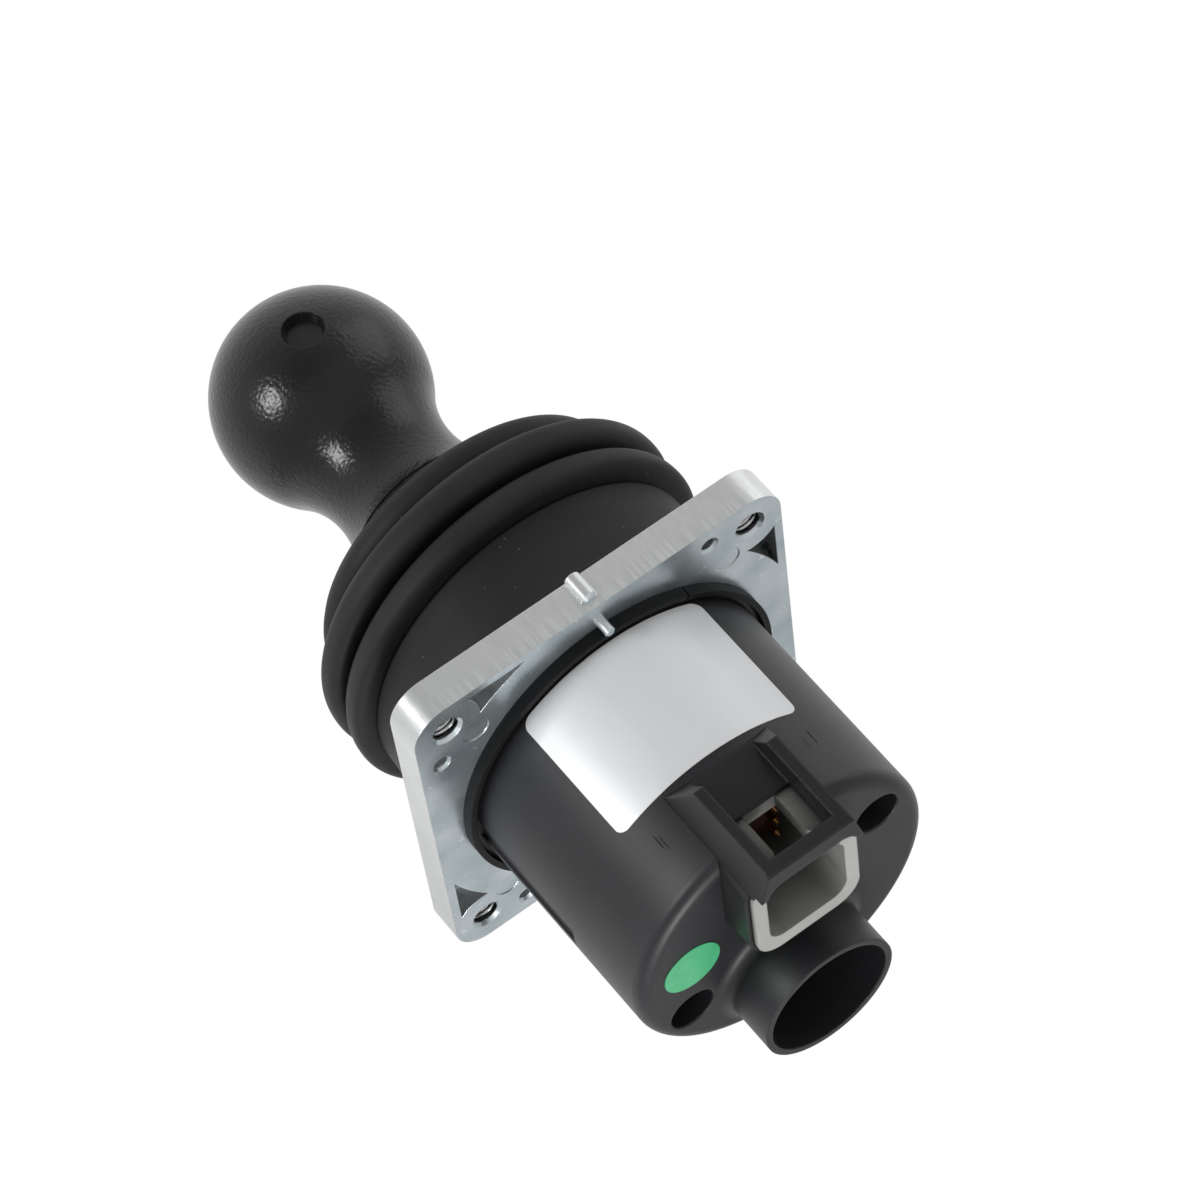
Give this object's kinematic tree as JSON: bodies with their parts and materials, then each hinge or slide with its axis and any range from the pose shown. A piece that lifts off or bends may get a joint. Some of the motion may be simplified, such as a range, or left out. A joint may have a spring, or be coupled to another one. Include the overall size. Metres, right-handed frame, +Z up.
{
  "type": "panel joystick",
  "caption": "Two-axis panel joystick: ball-topped lever in a rubber boot, square die-cast mounting plate, black rear housing with cable tube and plug socket.",
  "frame": {"origin": "centre of the plate's front face, which seats against the panel from behind; the lever's axis passes through it", "axes": "+Z up the lever to the knob; -Y towards the side with the latch guard and plug socket; +X to the right seen from -Y"},
  "size_m": [0.0762, 0.0778, 0.1681],
  "materials": {
    "cast_zinc": "bare die-cast zinc",
    "black_plastic": "satin black",
    "knob_plastic": "pebbled satin black",
    "grey_plastic": "satin light grey",
    "white_plastic": "satin ivory",
    "orange_plastic": "satin orange-red",
    "black_rubber": "matt black",
    "seal_rubber": "matt rust-brown",
    "steel": "machined",
    "brass": "machined",
    "board_green": "solder-masked circuit board",
    "chip_black": "moulded",
    "magnet_grey": "nickel-plated",
    "silver_film": "bare silver film",
    "green_film": "bare green film"
  },
  "bodies": {
    "base": {"mounting_plate": "cast_zinc", "gimbal_carrier": "black_plastic", "carrier_screws": "steel", "gate_plate": "steel", "gate_screws": "steel", "pivot_pins": "steel", "rim_band": "black_plastic", "housing_seal": "seal_rubber", "housing": "black_plastic", "plug_shroud": "black_plastic", "housing_screws": "steel", "connector_body": "grey_plastic", "terminal_lock": "orange_plastic", "connector_grommet": "seal_rubber", "contact_pins": "brass", "sensor_board": "board_green", "hall_sensors": "chip_black", "board_chips": "chip_black", "board_screws": "steel", "boot": "black_rubber", "label": "silver_film", "inspection_sticker": "green_film"},
    "gimbal": {"gimbal_ring": "cast_zinc", "pivot_bushes": "brass", "cross_bushes": "brass"},
    "lever": {"lever_shaft": "steel", "cross_pin": "steel", "centring_cup": "white_plastic", "centring_spring": "steel", "spring_washer": "steel", "magnet_holder": "black_plastic", "magnet": "magnet_grey", "lock_nut": "steel", "boot_collar": "black_plastic", "knob": "knob_plastic", "knob_insert": "brass", "knob_plug": "knob_plastic"}
  },
  "joints": [
    {"name": "tilt_x", "type": "hinge", "parent": "base", "child": "gimbal", "pos_m": [0, 0, -0.002], "axis": [1, 0, 0], "range_deg": [-18, 18], "stiffness_Nm_per_rad": 2.5, "deforming": ["boot"]},
    {"name": "tilt_y", "type": "hinge", "parent": "gimbal", "child": "lever", "pos_m": [0, 0, -0.002], "axis": [0, 1, 0], "range_deg": [-18, 18], "stiffness_Nm_per_rad": 2.5, "deforming": ["boot"]}
  ]
}
